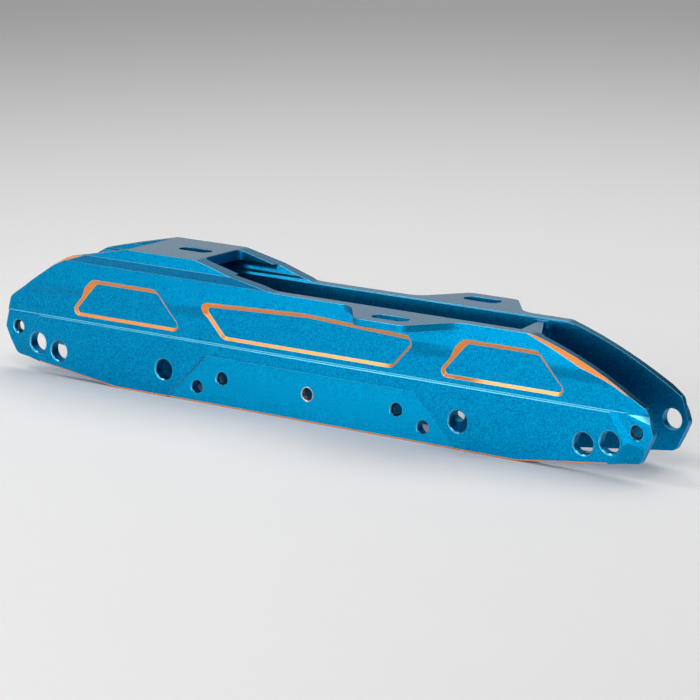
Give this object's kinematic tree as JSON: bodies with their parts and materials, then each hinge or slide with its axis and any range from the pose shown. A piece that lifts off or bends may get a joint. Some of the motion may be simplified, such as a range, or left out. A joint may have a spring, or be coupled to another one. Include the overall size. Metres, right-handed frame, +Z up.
{
  "type": "inline skate frame",
  "caption": "Machined aluminium inline skate frame with two side walls, a heel platform and two slotted wings for a three-point boot, and axle holes with steel thread inserts.",
  "frame": {"origin": "midway along the frame, midway between the side walls, on the plane of the walls' lower edges", "axes": "+X towards the toe, +Y to the skater's left, +Z up to the boot"},
  "size_m": [0.3836, 0.079, 0.0714],
  "materials": {
    "blue_anodised": "bead-blasted blue anodising with bare copper-coloured cut edges",
    "insert_steel": "plain turned steel"
  },
  "bodies": {
    "root": {"frame_body": "blue_anodised", "thread_insert_rear_1": "insert_steel", "thread_insert_rear_2": "insert_steel", "thread_insert_rear_3": "insert_steel", "thread_insert_rear_4": "insert_steel", "thread_insert_rear_5": "insert_steel", "thread_insert_centre": "insert_steel", "thread_insert_front_5": "insert_steel", "thread_insert_front_4": "insert_steel", "thread_insert_front_3": "insert_steel", "thread_insert_front_2": "insert_steel", "thread_insert_front_1": "insert_steel"}
  },
  "joints": []
}
